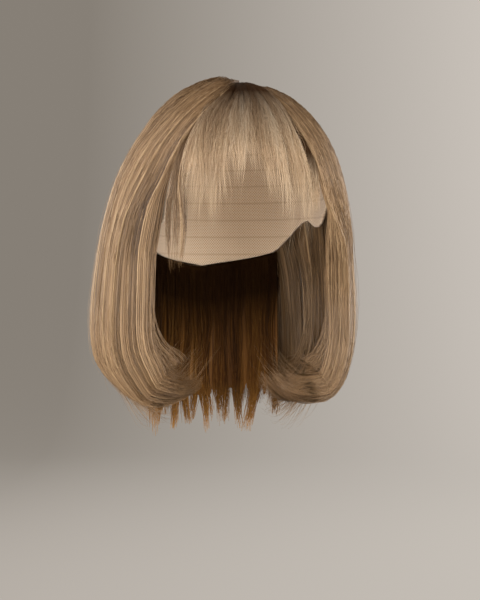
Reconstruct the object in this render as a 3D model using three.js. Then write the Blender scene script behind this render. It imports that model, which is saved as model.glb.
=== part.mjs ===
// A chin-length bob wig of fair human hair, with a wispy fringe and ends that curl under.
// Millimetres, +Z up. The wearer faces -Y and the wearer's left is +X. The origin is the crown of the
// cap's inside.
//
// Every piece is laid out in the cap's own terms. A point of the cap's inside has a turn, in degrees round
// the cap from the forehead (0) past the left ear (90) to the nape (180), and a fall, which runs from 0 at
// the crown to 1 at the cap's widest level and to 2 at the bottom of the bob. A piece lies on that surface
// or stands off it along its normal.
import * as THREE from "three";

// The cap
const CAP_WIDTH = 152; // inside, ear to ear
const CAP_LENGTH = 192; // inside, forehead to back
const CAP_RISE = 110; // crown down to the widest level
const CAP_WALL = 1.6;
const HAIRLINE_DROP = 52; // crown down to the cap's edge on the forehead
const EAR_TAB_DROP = 122; // the same at the tip of the ear tabs
const NAPE_DROP = 156; // the same at the nape

// The hair
const BOB_DROP = 283; // crown down to the bottom of the curl
const CROWN_BODY = 13; // height of the hair above the cap at the crown, on the fuller side of the parting
const SIDE_BODY = 60; // how far the hair stands off the cap at its widest
const CURL_DEPTH = 50; // how far the ends curl in under the jaw
const LENGTHS_WALL = 20; // thickness of the hanging lengths
const TIP_WALL = 2.4; // thickness of the thinned ends
const FRINGE_WALL = 4.5;
const FRINGE_DROP = 118; // crown down to the fringe's longest lock
const TEMPLE_DROP_LEFT = 116; // crown down to the tips of the temple locks
const TEMPLE_DROP_RIGHT = 166;
const TEMPLE_WALL = 3;
const NAPE_HAIR_DROP = 306; // crown down to the tips of the under layer
const NAPE_HAIR_WALL = 7;
const WHORL_RADIUS = 5; // the bare point that all the hair turns away from
const LOCK_GROOVE = 3.2; // depth of the furrow between two locks
const FINE_GROOVE = 1; // the same on the thin pieces
const SEAT_GAP = 1.1; // between a thick piece and the cap, of which its flat facets take up to 0.8
const FINE_SEAT_GAP = 0.5; // the same under the temple locks, whose facets take less
const RIM_GAP = 0.8; // below the cap's edge, where the under layer is sewn on
const SIDE_GAP = 0.8; // between two pieces that lie edge to edge

const DEGREES = Math.PI / 180;
const QUARTER_TURN = 90;

// The cap's edge: the turn, and how far down it lies between the named drops
const CAP_EDGE = [
  { turn: 0, drop: HAIRLINE_DROP },
  { turn: 40, drop: HAIRLINE_DROP * 1.1 },
  { turn: 62, drop: HAIRLINE_DROP * 1.5 },
  { turn: 78, drop: EAR_TAB_DROP * 0.9 },
  { turn: 90, drop: EAR_TAB_DROP },
  { turn: 104, drop: EAR_TAB_DROP * 0.95 },
  { turn: 130, drop: NAPE_DROP * 0.92 },
  { turn: 180, drop: NAPE_DROP },
];

// How full the bob is all the way round, as a share of SIDE_BODY
const FULLNESS = [
  { turn: 0, share: 0.1 },
  { turn: 45, share: 0.24 },
  { turn: 70, share: 0.42 },
  { turn: 84, share: 0.55 },
  { turn: 100, share: 0.84 },
  { turn: 118, share: 0.955 },
  { turn: 145, share: 0.9 },
  { turn: 180, share: 0.76 },
];

// How high the hair stands at the crown, as a share of CROWN_BODY: the wearer's right is combed up and over,
// and drops to the fringe and the left in a step
const CROWN_LIFT = [
  { turn: -180, share: 0.8 },
  { turn: -120, share: 0.95 },
  { turn: -51, share: 1.0 },
  { turn: -49, share: 0.55 },
  { turn: 0, share: 0.5 },
  { turn: 60, share: 0.6 },
  { turn: 120, share: 0.66 },
  { turn: 180, share: 0.8 },
];

// The outlines of the side lengths: they stand off more and more, then curl under the jaw. The wearer's right
// is combed up from the parting and stands higher at the top, and the left is squarer at the bottom.
// body is the share of the way from the height at the crown (0) to the full body (1), and below 0 the share
// of CURL_DEPTH; wall is the share of LENGTHS_WALL
const SIDE_OUTLINES = {
  right: [
    { fall: 0, body: 0, wall: 1 },
    { fall: 0.18, body: 0.09, wall: 1 },
    { fall: 0.354, body: 0.19, wall: 1 },
    { fall: 0.5, body: 0.265, wall: 1 },
    { fall: 0.63, body: 0.32, wall: 1 },
    { fall: 0.893, body: 0.575, wall: 1 },
    { fall: 1.12, body: 0.8, wall: 1 },
    { fall: 1.45, body: 0.97, wall: 1.05 },
    { fall: 1.66, body: 0.98, wall: 1 },
    { fall: 1.8, body: 0.835, wall: 0.9 },
    { fall: 1.91, body: 0.46, wall: 0.8 },
    { fall: 1.98, body: 0.1, wall: 0.65 },
    { fall: 2.0, body: -0.3, wall: 0.5 },
    { fall: 1.955, body: -0.7, wall: 0.35 },
    { fall: 1.86, body: -0.97, wall: 0.12 },
  ],
  left: [
    { fall: 0, body: 0, wall: 1 },
    { fall: 0.18, body: 0, wall: 1 },
    { fall: 0.354, body: 0.165, wall: 1 },
    { fall: 0.5, body: 0.29, wall: 1 },
    { fall: 0.63, body: 0.41, wall: 1 },
    { fall: 0.893, body: 0.6, wall: 1 },
    { fall: 1.12, body: 0.84, wall: 1 },
    { fall: 1.45, body: 0.99, wall: 1.05 },
    { fall: 1.66, body: 0.97, wall: 1 },
    { fall: 1.8, body: 0.85, wall: 0.9 },
    { fall: 1.91, body: 0.63, wall: 0.8 },
    { fall: 1.98, body: 0.27, wall: 0.65 },
    { fall: 2.0, body: -0.2, wall: 0.5 },
    { fall: 1.955, body: -0.65, wall: 0.35 },
    { fall: 1.86, body: -0.97, wall: 0.12 },
  ],
};

// The outline of the back lengths, which only bend in a little at the ends
const BACK_OUTLINE = [
  { fall: 0, body: 0, wall: 1 },
  { fall: 0.18, body: 0.05, wall: 1 },
  { fall: 0.354, body: 0.18, wall: 1 },
  { fall: 0.5, body: 0.275, wall: 1 },
  { fall: 0.63, body: 0.36, wall: 1 },
  { fall: 0.893, body: 0.58, wall: 1 },
  { fall: 1.12, body: 0.8, wall: 1 },
  { fall: 1.45, body: 0.97, wall: 1 },
  { fall: 1.66, body: 0.97, wall: 0.85 },
  { fall: 1.82, body: 0.82, wall: 0.65 },
  { fall: 1.95, body: 0.42, wall: 0.35 },
  { fall: 2.02, body: 0.12, wall: 0.12 },
];

// Where the front edge of the side lengths lies on its way down, as a turn on either side. The wearer's
// right is swept back from the parting, and the left falls forward over the temple.
const CURTAIN_EDGE = [
  { fall: 0, right: 48, left: 8 },
  { fall: 0.2, right: 50, left: 11 },
  { fall: 0.4, right: 58, left: 17 },
  { fall: 0.58, right: 69, left: 24 },
  { fall: 0.75, right: 76, left: 30 },
  { fall: 0.93, right: 80, left: 36 },
  { fall: 1.06, right: 82, left: 50 },
  { fall: 1.2, right: 84, left: 71 },
  { fall: 1.4, right: 84, left: 82 },
  { fall: 1.7, right: 84, left: 84 },
  { fall: 2.1, right: 82, left: 82 },
];

const BACK_TURN = 125; // where the side lengths meet the back lengths
const FRINGE_PARTING = -20; // the turn of the gap in the fringe, on the wearer's right of the middle
const FRINGE_SPREAD = { right: 62, left: 18 }; // the turn that the fringe reaches on either side
const TEMPLE_SPREAD = { right: 14, left: 10 }; // the width of a temple lock, in degrees
const NAPE_START_TURN = 128;
const TEMPLE_CLEARANCE = 1.2; // between a temple lock and its neighbours, in degrees
const TEMPLE_ROOT_DROP = { right: 40, left: 44 }; // crown down to the roots of the temple locks
const FRINGE_MIDDLE_SHARE = 0.62; // how long the fringe is at its parting, as a share of its longest lock
const FRINGE_MIDDLE_SPREAD = 20; // the turn within which it grows to its full length
const SEATED_SHARE = 0.8; // the lengths lie on the cap down to this share of the cap's drop
const FREE_SHARE = 1.35; // and hang with their own thickness from here
const FRONT_ROUNDING = 14; // the degrees over which the front edge of the side lengths is rounded
const FRONT_DROP = 5; // how far the outside falls back there
const FRONT_THINNING = 0.45; // and the share of the wall that is missing
const FRONT_START_FALL = 0.6; // the rounding begins here, below the fringe's root
const GROOVE_START = 0.25; // the share of a piece's length over which its furrows deepen
const THINNING_START = 0.6; // the share of a thin layer's length where its wall begins to thin
const CAP_COLUMNS = 36;
const CAP_ROWS = 9;
const SLOPE_STEP = 0.01;

// Straight-line value of a table's column at a given key, with the slopes rounded by a cubic
function tableValue(table, key, at, column) {
  const last = table.length - 1;
  let i = 0;
  while (i < last - 1 && at > table[i + 1][key]) i += 1;
  const share = THREE.MathUtils.clamp((at - table[i][key]) / (table[i + 1][key] - table[i][key]), 0, 1);
  return cubicThrough(table, column, i, share);
}

// Catmull-Rom value of a column between row i and the next one. A table goes on straight past its ends.
function cubicThrough(table, column, i, share) {
  const [a, b] = [table[i][column], table[i + 1][column]];
  const before = i > 0 ? table[i - 1][column] : 2 * a - b;
  const after = i + 2 < table.length ? table[i + 2][column] : 2 * b - a;
  const slopeA = (b - before) / 2;
  const slopeB = (after - a) / 2;
  const s2 = share * share;
  const s3 = s2 * share;
  return (2 * s3 - 3 * s2 + 1) * a + (s3 - 2 * s2 + share) * slopeA
    + (3 * s2 - 2 * s3) * b + (s3 - s2) * slopeB;
}

// One row of an outline table at a share of its whole length, 0 to 1, counted row by row
function outlineRow(outline, share) {
  const place = THREE.MathUtils.clamp(share, 0, 1) * (outline.length - 1);
  const i = Math.min(Math.floor(place), outline.length - 2);
  const row = {};
  for (const column of ["fall", "body", "wall"]) row[column] = cubicThrough(outline, column, i, place - i);
  return row;
}

const smooth = (value, low, high) => THREE.MathUtils.smoothstep(value, low, high);
const turnOf = (turn) => Math.abs(THREE.MathUtils.euclideanModulo(turn + 180, 360) - 180);
const capEdge = (turn) => tableValue(CAP_EDGE, "turn", turnOf(turn), "drop");
const fullness = (turn) => SIDE_BODY * tableValue(FULLNESS, "turn", turnOf(turn), "share");
const signedTurn = (turn) => THREE.MathUtils.euclideanModulo(turn + 180, 360) - 180;
const crownBody = (turn) => CROWN_BODY * tableValue(CROWN_LIFT, "turn", signedTurn(turn), "share");
const sideOf = (turn) => (turn < 0 ? "right" : "left");
const curtainEdge = (fall, side) => tableValue(CURTAIN_EDGE, "fall", fall, side);

// How far below the crown a fall lies, and the fall at a given drop
function dropOf(fall) {
  if (fall < 1) return CAP_RISE * (1 - Math.cos(fall * QUARTER_TURN * DEGREES));
  return CAP_RISE + (fall - 1) * (BOB_DROP - CAP_RISE);
}
function fallOf(drop) {
  if (drop < CAP_RISE) return Math.acos(1 - drop / CAP_RISE) / DEGREES / QUARTER_TURN;
  return 1 + (drop - CAP_RISE) / (BOB_DROP - CAP_RISE);
}

const LYING = CAP_WALL + SEAT_GAP; // how far the inside of a piece that lies on the cap stands off
const WHORL_FALL = Math.asin(WHORL_RADIUS / (CAP_WIDTH / 2)) / DEGREES / QUARTER_TURN;

// A point at a turn and a fall, standing off the cap's inside along its normal
function pointAt(turn, fall, offset) {
  const angle = turn * DEGREES;
  const polar = Math.min(fall, 1) * QUARTER_TURN * DEGREES;
  const [halfWidth, halfLength] = [CAP_WIDTH / 2, CAP_LENGTH / 2];
  const [across, along] = [Math.sin(angle), -Math.cos(angle)];
  const reach = Math.sin(polar);
  const foot = new THREE.Vector3(halfWidth * reach * across, halfLength * reach * along, -dropOf(fall));
  const normal = new THREE.Vector3(
    (reach * across) / halfWidth,
    (reach * along) / halfLength,
    Math.cos(polar) / CAP_RISE,
  ).normalize();
  return foot.addScaledVector(normal, offset);
}

// The point moved sideways, level with the ground, along the cap's own way round
function pointBeside(turn, fall, offset, shift) {
  const angle = turn * DEGREES;
  const aside = new THREE.Vector3(CAP_WIDTH * Math.cos(angle), CAP_LENGTH * Math.sin(angle), 0).normalize();
  return pointAt(turn, fall, offset).addScaledVector(aside, shift);
}

// A closed solid between an outer and an inner sheet of points, each points[row][column]. With poles the
// sheets run all the way round, and each is closed at the top by a fan to its pole.
function solidBetween(outer, inner, poles = null) {
  const rows = outer.length;
  const columns = outer[0].length;
  const index = [];
  const at = (sheet, row, column) => (sheet * rows + row) * columns + (column % columns);
  const quad = (a, b, c, d) => index.push(a, b, c, a, c, d);
  const strips = poles ? columns : columns - 1;
  for (let c = 0; c < strips; c += 1) {
    for (let row = 0; row < rows - 1; row += 1) {
      quad(at(0, row, c), at(0, row + 1, c), at(0, row + 1, c + 1), at(0, row, c + 1));
      quad(at(1, row, c), at(1, row, c + 1), at(1, row + 1, c + 1), at(1, row + 1, c));
    }
    quad(at(0, rows - 1, c), at(1, rows - 1, c), at(1, rows - 1, c + 1), at(0, rows - 1, c + 1));
    if (poles) {
      const outerPole = 2 * rows * columns;
      index.push(outerPole, at(0, 0, c), at(0, 0, c + 1));
      index.push(outerPole + 1, at(1, 0, c + 1), at(1, 0, c));
    } else {
      quad(at(0, 0, c), at(0, 0, c + 1), at(1, 0, c + 1), at(1, 0, c));
    }
  }
  for (let row = 0; row < rows - 1 && !poles; row += 1) {
    const end = columns - 1;
    quad(at(0, row, 0), at(1, row, 0), at(1, row + 1, 0), at(0, row + 1, 0));
    quad(at(0, row, end), at(0, row + 1, end), at(1, row + 1, end), at(1, row, end));
  }
  const points = [...outer.flat(), ...inner.flat(), ...(poles || [])];
  const geometry = new THREE.BufferGeometry().setFromPoints(points);
  geometry.setIndex(index);
  geometry.computeVertexNormals();
  return geometry;
}

// The columns of a piece that is made of locks: where each lies across the piece, whether it runs down a
// furrow between two locks or along a crest, and how much of the piece's length it has
const CREST_SHARES = [0, 0.32, 0.7];
const LOCK_WANDER = 0.12;
const NOTCH = 1.5; // how much further than the shortest lock a furrow is cut back at the ends
function lockColumns({ locks, raggedness, seed }) {
  const columns = [];
  for (let lock = 0; lock <= locks; lock += 1) {
    const inside = lock > 0 && lock < locks;
    const wander = inside ? LOCK_WANDER * Math.sin(seed + lock * 1.7) : 0;
    const shorter = raggedness * (0.5 + 0.5 * Math.sin(seed + lock * 2.4));
    for (const share of lock < locks ? CREST_SHARES : [0]) {
      const furrow = share === 0;
      const across = (lock + share + wander * (1 - share)) / locks;
      columns.push({ across, furrow, length: 1 - (furrow ? raggedness * NOTCH : shorter) });
    }
  }
  return columns;
}

// Half of SIDE_GAP, inwards, at the two edges of a piece
function edgeShift(across) {
  if (across === 0) return SIDE_GAP / 2;
  return across === 1 ? -SIDE_GAP / 2 : 0;
}

// A wall of locks from its top row to its tips. place(column, share) gives the two points of the wall.
function wallOfLocks(piece, place) {
  const columns = lockColumns(piece);
  const outer = [];
  const inner = [];
  for (let row = 0; row <= piece.rows; row += 1) {
    const pairs = columns.map((column) => place(column, row / piece.rows));
    outer.push(pairs.map((pair) => pair.outside));
    inner.push(pairs.map((pair) => pair.inside));
  }
  return solidBetween(outer, inner);
}

// The lengths: they start round the whorl, lie on the cap, and hang free below its edge with a thickness
// that is taken square to their outline, so that the wall turns under with the curl.
function lengthsGeometry(piece) {
  const { outline, startTurn, endTurn } = piece;
  const topShare = WHORL_FALL / outline[1].fall / (outline.length - 1);
  const outsideAt = (column, share) => {
    const row = outlineRow(outline, share);
    const turn = THREE.MathUtils.lerp(startTurn(row.fall), endTurn(row.fall), column.across);
    const start = crownBody(turn);
    const reach = row.body > 0 ? fullness(turn) - start : CURL_DEPTH;
    const inward = smooth(turnOf(turn) - curtainEdge(row.fall, sideOf(turn)), 0, FRONT_ROUNDING);
    const rounding = outline === BACK_OUTLINE ? 0 : (1 - inward) * smooth(row.fall, FRONT_START_FALL, 1);
    const groove = column.furrow ? LOCK_GROOVE * smooth(share, 0, GROOVE_START) : 0;
    const body = start + reach * row.body - groove - rounding * FRONT_DROP;
    const shift = edgeShift(column.across);
    return { row, turn, body, rounding, shift, point: pointBeside(turn, row.fall, body, shift) };
  };
  return wallOfLocks(piece, (column, down) => {
    const share = THREE.MathUtils.lerp(topShare, column.length, down);
    const { row, turn, body, rounding, shift, point } = outsideAt(column, share);
    const before = outsideAt(column, share - SLOPE_STEP);
    const after = outsideAt(column, share + SLOPE_STEP);
    const drift = after.body - before.body;
    const sink = dropOf(after.row.fall) - dropOf(before.row.fall);
    const length = Math.hypot(drift, sink);
    const wall = LENGTHS_WALL * row.wall * (1 - FRONT_THINNING * rounding) + TIP_WALL;
    const least = row.body > 0 ? LYING : -CURL_DEPTH;
    const hanging = pointBeside(turn, row.fall, Math.max(body - (wall * sink) / length, least), shift);
    hanging.z -= (wall * drift) / length;
    const seat = pointBeside(turn, row.fall, LYING, shift);
    const free = smooth(dropOf(row.fall), capEdge(turn) * SEATED_SHARE, capEdge(turn) * FREE_SHARE);
    return { outside: point, inside: seat.lerp(hanging, free) };
  });
}

// A thin layer of locks between two drops, with its outside and its thickness given by the piece
function layerGeometry(piece) {
  const { startTurn, endTurn, topDrop, tipDrop, standOff, thickness } = piece;
  return wallOfLocks(piece, (column, down) => {
    const turnAt = (fall) => THREE.MathUtils.lerp(startTurn(fall), endTurn(fall), column.across);
    const aim = turnAt(1);
    const fall = THREE.MathUtils.lerp(fallOf(topDrop(aim)), fallOf(tipDrop(aim) * column.length), down);
    const drop = dropOf(fall);
    const groove = column.furrow ? FINE_GROOVE * smooth(down, 0, GROOVE_START) : 0;
    const outside = standOff(drop, down);
    const wall = THREE.MathUtils.lerp(thickness(drop, down), TIP_WALL, smooth(down, THINNING_START, 1));
    const shift = edgeShift(column.across);
    return {
      outside: pointBeside(turnAt(fall), fall, outside - groove, shift),
      inside: pointBeside(turnAt(fall), fall, outside - wall, shift),
    };
  });
}

// The cap: a thin dome whose edge dips from the forehead to the ear tabs and the nape
function capGeometry() {
  const sheet = (offset) => Array.from({ length: CAP_ROWS }, (_, row) =>
    Array.from({ length: CAP_COLUMNS }, (__, column) => {
      const turn = (column / CAP_COLUMNS) * 360 - 180;
      return pointAt(turn, fallOf(capEdge(turn)) * ((row + 1) / CAP_ROWS), offset);
    }));
  return solidBetween(sheet(CAP_WALL), sheet(0), [pointAt(0, 0, CAP_WALL), pointAt(0, 0, 0)]);
}

// The long lengths that fall from the whorl past one ear. side is 1 on the wearer's left, -1 on the right.
function sideLengths(side, locks) {
  const front = (fall) => side * curtainEdge(fall, sideOf(side));
  const back = () => side * BACK_TURN;
  return lengthsGeometry({
    outline: SIDE_OUTLINES[sideOf(side)], locks, rows: 24, raggedness: 0.035, seed: 1.3 + side,
    startTurn: side > 0 ? front : back, endTurn: side > 0 ? back : front,
  });
}

function backLengths() {
  return lengthsGeometry({
    outline: BACK_OUTLINE, locks: 10, rows: 20, raggedness: 0.03, seed: 0.4,
    startTurn: () => BACK_TURN, endTurn: () => 360 - BACK_TURN,
  });
}

// The fringe on one side of its parting, from the whorl down over the forehead, and longer at the temple
function fringeHalf(side, locks) {
  const parting = () => FRINGE_PARTING;
  const spread = FRINGE_SPREAD[sideOf(side)];
  const temple = (fall) => side * Math.min(curtainEdge(fall, sideOf(side)), spread);
  const tipDrop = (aim) => THREE.MathUtils.lerp(
    FRINGE_DROP * FRINGE_MIDDLE_SHARE,
    FRINGE_DROP,
    smooth(Math.abs(aim - FRINGE_PARTING), 0, FRINGE_MIDDLE_SPREAD),
  );
  const standOff = (drop) =>
    THREE.MathUtils.lerp(crownBody(0), LYING + FRINGE_WALL, smooth(drop, 0, HAIRLINE_DROP));
  return layerGeometry({
    locks, rows: 10, raggedness: 0.07, seed: 2.1 * side,
    startTurn: side > 0 ? parting : temple, endTurn: side > 0 ? temple : parting,
    topDrop: () => dropOf(WHORL_FALL), tipDrop, standOff,
    thickness: (drop) => standOff(drop) - LYING,
  });
}

// The long thin locks that frame the face between the fringe and the side lengths
function templeLock(side, tip) {
  const start = FRINGE_SPREAD[sideOf(side)] + TEMPLE_CLEARANCE;
  const near = () => side * start;
  const far = (fall) => side * Math.min(
    curtainEdge(fall, sideOf(side)) - TEMPLE_CLEARANCE,
    start + TEMPLE_SPREAD[sideOf(side)],
  );
  return layerGeometry({
    locks: 2, rows: 8, raggedness: 0.05, seed: side,
    startTurn: side > 0 ? near : far, endTurn: side > 0 ? far : near,
    topDrop: () => TEMPLE_ROOT_DROP[sideOf(side)], tipDrop: () => tip,
    standOff: () => CAP_WALL + FINE_SEAT_GAP + TEMPLE_WALL, thickness: () => TEMPLE_WALL,
  });
}

// The straight under layer that hangs from the cap's edge at the nape
function napeHair() {
  return layerGeometry({
    locks: 8, rows: 7, raggedness: 0.04, seed: 0.9,
    startTurn: () => NAPE_START_TURN, endTurn: () => 360 - NAPE_START_TURN,
    topDrop: (aim) => capEdge(turnOf(aim)) + RIM_GAP, tipDrop: () => NAPE_HAIR_DROP,
    standOff: (drop, down) =>
      THREE.MathUtils.lerp(NAPE_HAIR_WALL - CAP_WALL, NAPE_HAIR_WALL + CAP_WALL, down),
    thickness: () => NAPE_HAIR_WALL,
  });
}

const netting = new THREE.MeshStandardMaterial({ color: 0xc9a98a, roughness: 0.9, metalness: 0 });
const darkBlond = new THREE.MeshStandardMaterial({ color: 0x8d7053, roughness: 0.45, metalness: 0 });
const lightBlond = new THREE.MeshStandardMaterial({ color: 0xb39a7d, roughness: 0.45, metalness: 0 });
const warmBlond = new THREE.MeshStandardMaterial({ color: 0x7d5a35, roughness: 0.5, metalness: 0 });

const wig = new THREE.Group();
const pieces = [
  { name: "cap", geometry: capGeometry(), material: netting },
  { name: "side_lengths_left", geometry: sideLengths(1, 9), material: darkBlond },
  { name: "side_lengths_right", geometry: sideLengths(-1, 6), material: darkBlond },
  { name: "back_lengths", geometry: backLengths(), material: darkBlond },
  { name: "nape_hair", geometry: napeHair(), material: warmBlond },
  { name: "fringe_left", geometry: fringeHalf(1, 5), material: lightBlond },
  { name: "fringe_right", geometry: fringeHalf(-1, 5), material: lightBlond },
  { name: "temple_lock_left", geometry: templeLock(1, TEMPLE_DROP_LEFT), material: lightBlond },
  { name: "temple_lock_right", geometry: templeLock(-1, TEMPLE_DROP_RIGHT), material: lightBlond },
];
for (const { name, geometry, material } of pieces) {
  const mesh = new THREE.Mesh(geometry, material);
  mesh.name = name;
  wig.add(mesh);
}

export default wig;
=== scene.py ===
"""A chin-length bob wig of fair human hair on a net cap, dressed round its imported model.

Metres, +Z up. The wearer faces -Y, the wearer's left is +X, and the origin is the crown of the cap's
inside. Each hair piece stands for the solid of its name: a thin backing wall with strands laid over and
under it. A place on it has a turn, in degrees round the cap from the forehead (0) past the left ear (90)
to the nape (180), a fall, from 0 at the crown to 1 at the cap's widest level and 2 at the bottom of the
bob, and an offset from the cap's inside along its normal.
"""

import logging
import math
from dataclasses import dataclass, field
from enum import Enum
from typing import ClassVar

import bpy
import numpy as np
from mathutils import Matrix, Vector


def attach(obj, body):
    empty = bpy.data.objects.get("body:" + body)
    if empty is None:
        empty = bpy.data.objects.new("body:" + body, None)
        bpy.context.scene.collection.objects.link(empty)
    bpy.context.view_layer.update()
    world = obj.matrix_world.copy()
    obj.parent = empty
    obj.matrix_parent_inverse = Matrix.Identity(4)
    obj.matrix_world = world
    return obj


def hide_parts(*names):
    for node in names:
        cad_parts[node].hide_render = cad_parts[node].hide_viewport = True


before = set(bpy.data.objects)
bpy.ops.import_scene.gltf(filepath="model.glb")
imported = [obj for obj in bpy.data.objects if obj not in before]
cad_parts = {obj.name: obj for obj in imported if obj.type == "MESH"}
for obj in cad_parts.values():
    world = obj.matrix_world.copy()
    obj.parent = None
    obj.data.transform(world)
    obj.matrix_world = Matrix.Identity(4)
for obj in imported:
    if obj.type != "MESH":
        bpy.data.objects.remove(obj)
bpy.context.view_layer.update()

LOG = logging.getLogger("wig")

MILLIMETRE = 0.001
HALF_PI = math.pi / 2
FULL_TURN = 2 * math.pi
HALF_ROUND, ROUND = 180, 360
RING_SIDES = 3
TINY = 1e-9
MARKS = "strand"
TONE = "tone"
MIDDLE_TONE = 0.5
MIX_FACTOR, MIX_A, MIX_B, MIX_RESULT = 0, 6, 7, 2

Array = np.ndarray
Pair = tuple[float, float]
Socket = bpy.types.NodeSocket


class Side(Enum):
    """Which half of the wig a piece lies on. The value is the sign of its turn."""

    LEFT = 1
    RIGHT = -1


def smooth(value: Array, low: float, high: float) -> Array:
    """Gives 0 below low, 1 above high, and a rounded rise between them."""
    share = np.clip((value - low) / (high - low), 0.0, 1.0)
    return share * share * (3.0 - 2.0 * share)


def blend(first: Array, second: Array, share: Array) -> Array:
    """Gives the value that lies at a share of the way from first to second."""
    return first + (second - first) * share


def signed(turn: Array) -> Array:
    """Gives a turn between -180 and 180 degrees."""
    return (turn + HALF_ROUND) % ROUND - HALF_ROUND


def linear_colour(code: str) -> tuple[float, float, float, float]:
    """Turns an sRGB hex colour to linear light, by the formula of the sRGB standard.

    Args:
        code: the colour as "#rrggbb".

    Returns:
        Red, green, blue and an alpha of 1.
    """
    channels = [int(code[i:i + 2], 16) / 255.0 for i in (1, 3, 5)]
    linear = [c / 12.92 if c <= 0.04045 else ((c + 0.055) / 1.055) ** 2.4 for c in channels]
    return (*linear, 1.0)


def row_cubic(column: Array, place: Array) -> Array:
    """Reads a column of numbers at places between its rows, along a Catmull-Rom cubic.

    Args:
        column: the numbers, one for each row.
        place: where to read, counted in rows.

    Returns:
        The value at each place. The column goes on straight past its ends.
    """
    padded = np.concatenate([[2 * column[0] - column[1]], column, [2 * column[-1] - column[-2]]])
    row = np.clip(np.floor(place).astype(int), 0, len(column) - 2)
    share = np.clip(place - row, 0.0, 1.0)
    before, start, end, after = (padded[row + step] for step in range(4))
    rise, leave = (end - before) / 2, (after - start) / 2
    square, cube = share**2, share**3
    return ((2 * cube - 3 * square + 1) * start + (cube - 2 * square + share) * rise
            + (3 * square - 2 * cube) * end + (cube - square) * leave)


@dataclass(frozen=True)
class Table:
    """Pairs of a key and a value, joined by a rounded line."""

    rows: tuple[Pair, ...]

    @classmethod
    def flat(cls, value: float) -> "Table":
        """Makes a table that gives one value for every key."""
        return cls(((0, value), (1, value)))

    def at(self, key: Array) -> Array:
        """Gives the value at each key."""
        keys, values = np.array(self.rows).T
        return row_cubic(values, np.interp(key, keys, np.arange(len(keys))))


@dataclass(frozen=True)
class CapShape:
    """The inside of the cap: half an egg with straight sides below its widest level.

    The rise is how far the crown lies over the widest level, the bob drop how far it lies over the bottom
    of the bob, and the edge how far below the crown the cap ends, for each turn.
    """

    half_width: float = 0.076
    half_length: float = 0.096
    rise: float = 0.110
    bob_drop: float = 0.283
    wall: float = 0.0016
    edge: Table = Table(((0, 0.052), (40, 0.0572), (62, 0.078), (78, 0.1098), (90, 0.122),
                         (104, 0.1159), (130, 0.1435), (180, 0.156)))

    def drop(self, fall: Array) -> Array:
        """Gives the depth below the crown: on the dome the rise times one less the cosine of the fall."""
        dome = self.rise * (1 - np.cos(np.minimum(fall, 1.0) * HALF_PI))
        return dome + np.maximum(fall - 1.0, 0.0) * (self.bob_drop - self.rise)

    def fall(self, drop: Array) -> Array:
        """Gives the fall at each depth below the crown, the other way round from drop."""
        dome = np.arccos(np.clip(1 - drop / self.rise, 0.0, 1.0)) / HALF_PI
        return dome + np.maximum(drop - self.rise, 0.0) / (self.bob_drop - self.rise)

    def edge_drop(self, turn: Array) -> Array:
        """Gives how far below the crown the cap ends at each turn."""
        return self.edge.at(np.abs(signed(turn)))

    def normal(self, turn: Array, fall: Array) -> Array:
        """Gives the outward normal: each way's reach over its radius, made one long."""
        angle, polar = np.radians(turn), np.minimum(fall, 1.0) * HALF_PI
        reach = np.sin(polar)
        slope = np.stack([reach * np.sin(angle) / self.half_width,
                          -reach * np.cos(angle) / self.half_length,
                          np.cos(polar) / self.rise + 0 * angle], axis=-1)
        return slope / np.linalg.norm(slope, axis=-1, keepdims=True)

    def point(self, turn: Array, fall: Array, offset: Array) -> Array:
        """Gives places: an ellipse of the fall's reach, less its drop, plus the offset along the normal."""
        angle, reach = np.radians(turn), np.sin(np.minimum(fall, 1.0) * HALF_PI)
        foot = np.stack([self.half_width * reach * np.sin(angle),
                         -self.half_length * reach * np.cos(angle),
                         -self.drop(fall) + 0 * angle], axis=-1)
        return foot + self.normal(turn, fall) * np.asarray(offset)[..., None]

    def beside(self, turn: Array) -> Array:
        """Gives the level direction along the cap's own way round, one long."""
        angle = np.radians(turn)
        way = np.stack([self.half_width * np.cos(angle),
                        self.half_length * np.sin(angle), 0 * angle], axis=-1)
        return way / np.linalg.norm(way, axis=-1, keepdims=True)


@dataclass(frozen=True)
class Outline:
    """A piece's outline from the crown to its tips: the fall, the body and the wall, as shares."""

    rows: tuple[tuple[float, float, float], ...]
    steps: int = 600

    @classmethod
    def joined(cls, falls: tuple[float, ...], bodies: tuple[float, ...],
               walls: tuple[float, ...]) -> "Outline":
        """Makes an outline of its columns."""
        return cls(tuple(zip(falls, bodies, walls)))

    def by_length(self, cap: CapShape, share: Array, body: float,
                  curl: float) -> tuple[Array, Array, Array]:
        """Reads the outline at shares of its real length.

        The outline is walked in small steps of its rows, and the length of each step is the hypotenuse of
        its way out and its way down.

        Args:
            cap: the cap that it lies on.
            share: how far along the outline, from 0 to 1.
            body: what a body of 1 stands for.
            curl: what a body of -1 stands for.

        Returns:
            The fall, the body and the wall at each share. The outline goes on straight past its ends.
        """
        place = np.linspace(0, len(self.rows) - 1, self.steps)
        fall, out, wall = (row_cubic(column, place) for column in np.array(self.rows).T)
        reach = cap.half_width * np.sin(np.minimum(fall, 1.0) * HALF_PI)
        outwards = np.gradient(reach + out * np.where(out > 0, body, curl))
        way = np.hypot(outwards, np.gradient(cap.drop(fall)))
        length = np.concatenate([[0.0], np.cumsum((way[1:] + way[:-1]) / 2)])
        walked = length / length[-1]
        before, after = np.minimum(share, 0.0), np.maximum(share - 1.0, 0.0)

        def read(column: Array) -> Array:
            """Reads a column at the shares, straight on past both ends."""
            first = (column[1] - column[0]) / (walked[1] - walked[0])
            last = (column[-1] - column[-2]) / (walked[-1] - walked[-2])
            return np.interp(share, walked, column) + before * first + after * last

        return read(fall), read(out), np.interp(share, walked, wall)


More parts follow.
